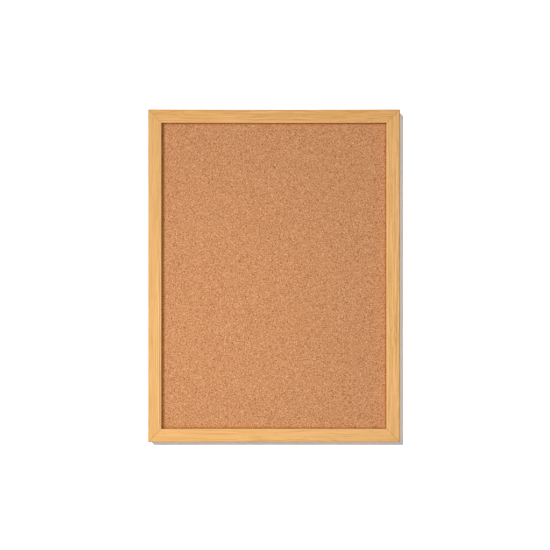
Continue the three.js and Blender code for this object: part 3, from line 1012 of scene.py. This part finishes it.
paper_low, paper_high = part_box("backing_paper")
paper_size = paper_high - paper_low
bm = flat_grid(paper_size.x, paper_size.z, *PAPER_GRID)
for v in bm.verts:
    free = min(1.0, max(0.0, from_lip(v.co) / HELD_BAND))
    spot = Vector((v.co.x / COCKLE_WIDTH, COCKLE_SEED, v.co.z / COCKLE_HEIGHT))
    v.co.y = COCKLE * (0.5 + 0.5 * noise.noise(spot)) * free * MM
bmesh.ops.solidify(bm, geom=bm.faces, thickness=paper_size.y)
move(bm, (0, paper_low.y - min(v.co.y for v in bm.verts), MIDDLE.z))
finish_piece("brown_paper", bm, "backing_paper", kraft, "kraft_paper")

# %% [markdown]
# ## Steel
# The hangers are thin plated steel: bright, a little blue, with hair scratches from the
# barrel they were plated in, and duller in soft patches. The V-nails are bare spring
# steel. One group gives the wear of both, and each material keeps its own shader.

# %% Steel group
tree, steel_in, steel_out = new_group(
    "rubbed_steel",
    {"Place": "Vector", "Clean": "Color", "Dull": "Color", "Smooth": "Float", "Rough": "Float"},
    {"Color": "Color", "Roughness": "Float", "Height": "Float"},
)
rubbed_steel = tree
haze = grain(tree, steel_in["Place"], (2.4, 2.4, 2.4), detail=4, roughness=0.6)
scratch = grain(tree, steel_in["Place"], (0.09, 0.09, 3.5), detail=2, shift=4)
pit = grain(tree, steel_in["Place"], (0.25, 0.25, 0.25), detail=1, shift=9)
hazed = between(tree, haze, 0.35, 0.68)
scratched = between(tree, scratch, 0.58, 0.72)
worn = calc(tree, "MAXIMUM", hazed, calc(tree, "MULTIPLY", scratched, 0.8))
steel_rough = put(tree, "MapRange", {0: worn, 3: steel_in["Smooth"], 4: steel_in["Rough"]})
feed(tree, steel_out, {
    "Color": lay(tree, worn, steel_in["Clean"], steel_in["Dull"]),
    "Roughness": steel_rough.outputs[0],
    "Height": calc(tree, "SUBTRACT", pit, scratched),
})

# %% Steel materials
def steel_material(name, clean, dull, smooth, rough):
    material, tree, shader = new_material(name)
    values = {"Clean": clean, "Dull": dull, "Smooth": smooth, "Rough": rough}
    steel = use_group(tree, rubbed_steel, {"Place": place_in_mm(tree), **values})
    coat(tree, shader, steel["Color"], steel["Roughness"], steel["Height"], 0.25, 0.02, metal=1.0)
    return material


plated = steel_material("plated_steel", paint(205, 207, 208), paint(172, 172, 168), 0.2, 0.42)
bare = steel_material("nail_steel", paint(150, 151, 153), paint(112, 104, 96), 0.32, 0.6)
for node in frame["nodes"]:
    if node.startswith("v_nail"):
        recoat(node, bare)

# %% [markdown]
# ## D-rings
# A ring is one wire, bent round a former until its two ends meet in the middle of the
# straight bar. The wire's section travels along the bar, turns a corner, climbs a leg,
# sweeps over the crown and comes back the same way. The hinge line comes from the joint.

# %% Hinge places
hinges = {}
for joint in frame["joints"]:
    side = joint["name"].split("_")[0]
    hinges[side] = Vector(joint["pos_m"])
    print(joint["name"], "turns about, mm:", [round(c / MM, 2) for c in hinges[side]])

# %% D-ring
WIRE = 1.0 * MM
CORNER = 1.5 * MM
LEG = 3.0 * MM
CROWN = 6.4 * MM
BUTT = 0.15 * MM
OFF_THE_WOOD = 0.3 * MM


def bend_ring():
    """A wire ring about its hinge line, which runs along X through the origin."""
    bm = bmesh.new()
    bmesh.ops.create_circle(bm, cap_ends=True, segments=16, radius=WIRE)
    bmesh.ops.rotate(bm, matrix=Matrix.Rotation(QUARTER, 3, "Y"), verts=bm.verts)
    move(bm, (BUTT, 0, 0))
    out = Vector((0, -1, 0))
    half_bar = (CROWN - CORNER - BUTT, 0, 0)
    line = travel(bm, bm.edges[:], half_bar)
    line = turn(bm, line, (CROWN - CORNER, 0, CORNER), out, QUARTER, 8)
    line = travel(bm, line, (0, 0, LEG))
    line = turn(bm, line, (0, 0, CORNER + LEG), out, math.pi, 40)
    line = travel(bm, line, (0, 0, -LEG))
    line = turn(bm, line, (CORNER - CROWN, 0, CORNER), out, QUARTER, 8)
    line = travel(bm, line, half_bar)
    bmesh.ops.holes_fill(bm, edges=line)
    weld(bm)
    return bm


for side, hinge in hinges.items():
    lean = math.asin((hinge.y - WIRE - OFF_THE_WOOD) / (CORNER + LEG + CROWN))
    ring = bend_ring()
    ring.transform(Matrix.Translation(hinge) @ Matrix.Rotation(lean, 4, "X"))
    names = (side + "_ring", plated, "plated_steel", side + "_d_ring")
    finish_piece(side + "_wire_ring", ring, *names, smooth=40)

# %% [markdown]
# ## Straps
# A strap is a strip of steel, folded round the ring's bar, pinched in under it and laid
# back on itself. A strip is easiest as one line across its width that travels and turns
# along the fold, and then gets its thickness. A blank with a round tail trims both
# layers at once, as a press tool would, and a drill makes the screw's hole.

# %% Strap
STRIP = 0.8 * MM
HALF_STRIP = 5 * MM
FOLD_INSIDE = 1.15 * MM
NECK_INSIDE = 1.6 * MM
NECK_RISE = 0.6 * MM
STRAP_REACH = 20.5 * MM
SHORTER = 0.4 * MM
SCREW_DROP = 15.5 * MM
BLANK_DEPTH, BLANK_RISE = 8 * MM, 25 * MM
HOLE_RADIUS, HOLE_LENGTH = 1.7 * MM, 9 * MM
EASED = 0.14 * MM


def fold_strap():
    """A folded strip about its hinge line, which runs along X through the origin."""
    bm = bmesh.new()
    ends = [bm.verts.new((x, -FOLD_INSIDE, -STRAP_REACH)) for x in (-HALF_STRIP, HALF_STRIP)]
    line = travel(bm, [bm.edges.new(ends)], (0, 0, STRAP_REACH))
    fall = math.sqrt((FOLD_INSIDE + NECK_INSIDE) ** 2 - NECK_RISE**2)
    sweep = math.pi - math.atan2(NECK_RISE, fall)
    line = turn(bm, line, (0, 0, 0), (-1, 0, 0), sweep + QUARTER, 30)
    line = turn(bm, line, (0, NECK_RISE, -fall), (1, 0, 0), sweep - QUARTER, 10)
    travel(bm, line, (0, 0, SHORTER - STRAP_REACH - line[0].verts[0].co.z))
    weld(bm)
    face_out(bm)
    bmesh.ops.solidify(bm, geom=bm.faces, thickness=-STRIP)
    return bm


def tail_blank():
    """A plate with a round lower end, as wide as the strip."""
    bm = bmesh.new()
    bmesh.ops.create_circle(bm, cap_ends=True, segments=64, radius=HALF_STRIP)
    stand_up(bm)
    move(bm, (0, -BLANK_DEPTH / 2, -SCREW_DROP))
    upper = [v for v in bm.verts if v.co.z > -SCREW_DROP - 10 * TOUCHING]
    move(bm, (0, 0, BLANK_RISE), upper)
    made = bmesh.ops.extrude_face_region(bm, geom=bm.faces[:])
    move(bm, (0, BLANK_DEPTH, 0), newest(made, bmesh.types.BMVert))
    return bm


for side, hinge in hinges.items():
    strap = cut(fold_strap(), [tail_blank()], "INTERSECT")
    strap = cut(strap, [drill(HOLE_RADIUS, HOLE_LENGTH, (0, 0, -SCREW_DROP))])
    strap.transform(Matrix.Translation(hinge))
    names = (side + "_hanger_strap", plated, "plated_steel")
    piece = finish_piece(side + "_folded_strap", strap, *names)
    eased = piece.modifiers.new("eased", "BEVEL")
    eased.width = EASED
    eased.segments = 2
    eased.limit_method = "ANGLE"
    eased.angle_limit = math.radians(40)

# %% [markdown]
# ## Screws
# A pan head screw has three forms: a domed head spun from its profile, a cross recess
# that planes mark out on the dome and an extrusion sinks, and a thread. A thread is one
# tooth that spins while it moves down its axis, so that each turn ends where the next
# one starts.

# %% Screw head
HEAD_RADIUS, HEAD_EDGE, HEAD_DOME = 2.8 * MM, 0.7 * MM, 1.3 * MM
CROSS_REACH, CROSS_WIDTH, CROSS_DEPTH = 1.55 * MM, 0.42 * MM, 1.15 * MM
DOME_START = HEAD_EDGE + 0.2 * MM


def spin_head():
    """A domed head on the plane Y = 0."""
    bm = bmesh.new()
    rim = bm.verts.new((1, 0, 0))
    bmesh.ops.spin(bm, geom=[rim], cent=(0, 0, 0), axis=(0, 0, 1), angle=QUARTER, steps=8)
    bmesh.ops.scale(bm, vec=(HEAD_RADIUS, HEAD_DOME, 1), verts=bm.verts)
    move(bm, (0, HEAD_EDGE, 0))
    below = bm.verts.new((HEAD_RADIUS, 0, 0))
    axle = bm.verts.new((0, 0, 0))
    bm.edges.new((rim, below))
    bm.edges.new((below, axle))
    bmesh.ops.spin(
        bm, geom=bm.verts[:] + bm.edges[:], cent=(0, 0, 0), axis=(0, 1, 0),
        angle=2 * math.pi, steps=32, use_merge=True,
    )
    weld(bm)
    face_out(bm)
    return bm


def sink_recess(bm):
    """Marks a cross on the dome with planes, then sinks it with a taper."""
    for way in ((1, 0, 0), (0, 0, 1)):
        for off in (-CROSS_REACH, -CROSS_WIDTH, CROSS_WIDTH, CROSS_REACH):
            saw(bm, Vector(way) * off, way)
    cross = []
    for face in bm.faces:
        centre = face.calc_center_median()
        width, reach = sorted((abs(centre.x), abs(centre.z)))
        if centre.y > DOME_START and width < CROSS_WIDTH and reach < CROSS_REACH:
            cross.append(face)
    rim = list(dict.fromkeys(e for f in cross for e in f.edges))
    made = bmesh.ops.extrude_face_region(bm, geom=cross + rim)
    sunk = newest(made, bmesh.types.BMVert)
    move(bm, (0, -CROSS_DEPTH, 0), sunk)
    bmesh.ops.scale(bm, vec=(0.5, 1, 0.5), verts=sunk)
    return bm


# %% Screw thread
PITCH_OF_THREAD = 1.1 * MM
THREAD_TURNS, STEPS_A_TURN = 11, 20
# a tooth's profile: distance from the axis and way down, in mm
TOOTH = ((1.08, 0), (1.08, -0.42), (1.5, -0.66), (1.5, -0.74), (1.08, -1.1))
SHANK_START, SHANK_TOP, SHANK_END = 1.3 * MM, 0.2 * MM, -11.95 * MM
POINT_END, POINT_LENGTH = -12 * MM, 3 * MM


def spin_thread():
    """A threaded shank along -Y, which starts just inside the head and ends in a point."""
    bm = bmesh.new()
    corners = [bm.verts.new((r * MM, d * MM, 0)) for r, d in TOOTH]
    line = [bm.edges.new(pair) for pair in zip(corners, corners[1:])]
    bmesh.ops.spin(
        bm, geom=corners + line, cent=(0, 0, 0), axis=(0, 1, 0),
        dvec=(0, -PITCH_OF_THREAD / STEPS_A_TURN, 0),
        angle=2 * math.pi * THREAD_TURNS, steps=STEPS_A_TURN * THREAD_TURNS,
    )
    weld(bm, 2 * TOUCHING)
    move(bm, (0, SHANK_START, 0))
    for level, outwards in ((SHANK_TOP, 1), (SHANK_END, -1)):
        saw(bm, (0, level, 0), (0, outwards, 0), clear=True)
    bmesh.ops.holes_fill(bm, edges=[e for e in bm.edges if e.is_boundary])
    for v in bm.verts:
        taper = min(1.0, max(0.05, (v.co.y - POINT_END) / POINT_LENGTH))
        v.co.x *= taper
        v.co.z *= taper
    return bm


# %% Make the screws
HEAD_SEAT = 1.82 * MM
TIGHTENED = {"left": 24, "right": -13}

for side, hinge in hinges.items():
    screw = sink_recess(spin_head())
    shank = as_mesh("shank", spin_thread())
    screw.from_mesh(shank)
    bpy.data.meshes.remove(shank)
    bmesh.ops.dissolve_degenerate(screw, dist=TOUCHING, edges=screw.edges)
    seat = Matrix.Translation((hinge.x, HEAD_SEAT, hinge.z - SCREW_DROP))
    screw.transform(seat @ Matrix.Rotation(math.radians(TIGHTENED[side]), 4, "Y"))
    names = (side + "_hanger_screw", plated, "plated_steel")
    finish_piece(side + "_cross_screw", screw, *names)

# %% [markdown]
# ## A highlight for the steel
# Wood is seen by its own colour, but steel only by what it mirrors, and in a white room
# it would look flat. So a sun like the one on the back lights the steel alone, and gives
# the wire and the domed heads the bright line that makes them look round.

# %% Steel sun
steel_sun = new_sun("steel_sun", **BACK_SUN)
steel_things = [
    thing for thing in scene.objects
    if thing.type == "MESH" and {plated, bare} & set(thing.data.materials)
]
link_light(steel_sun, steel_things, "INCLUDE")
print("steel pieces with a highlight:", len(steel_things))
